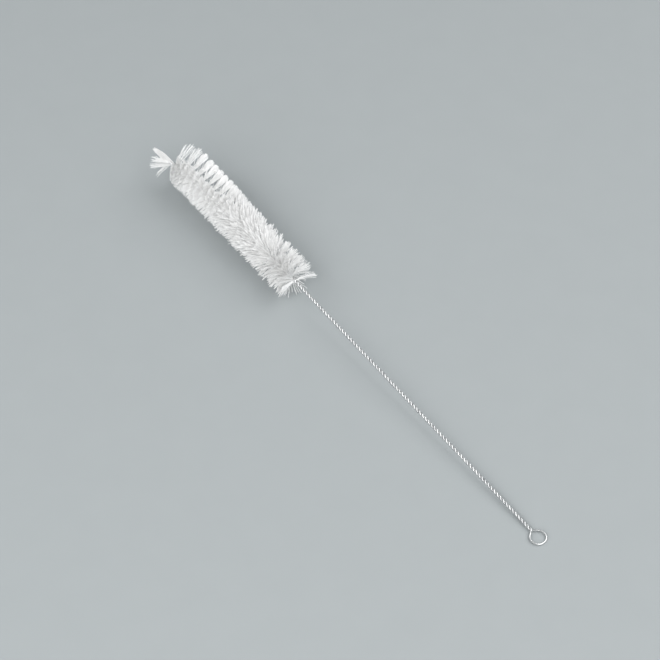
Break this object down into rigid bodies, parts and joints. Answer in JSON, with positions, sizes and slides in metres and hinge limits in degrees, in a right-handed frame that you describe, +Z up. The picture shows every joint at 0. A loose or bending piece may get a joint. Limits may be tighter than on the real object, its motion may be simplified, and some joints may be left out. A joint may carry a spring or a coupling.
{
  "type": "bottle brush",
  "caption": "Slim cleaning brush: a spiral head of white bristles held in twisted wire, with a tuft at the tip, a long twisted stem and a round hanging eye.",
  "frame": {"origin": "on the surface that the brush lies on, under the middle of its box", "axes": "+X along the brush from the hanging eye to the tip, +Z up from the surface, +Y to the side that the tip is bent to"},
  "size_m": [0.285, 0.0245, 0.0258],
  "materials": {
    "steel_wire": "polished",
    "nylon_bristle": "satin"
  },
  "bodies": {
    "root": {"twisted_wire": "steel_wire", "head_bristles": "nylon_bristle", "tip_tuft": "nylon_bristle"}
  },
  "joints": []
}
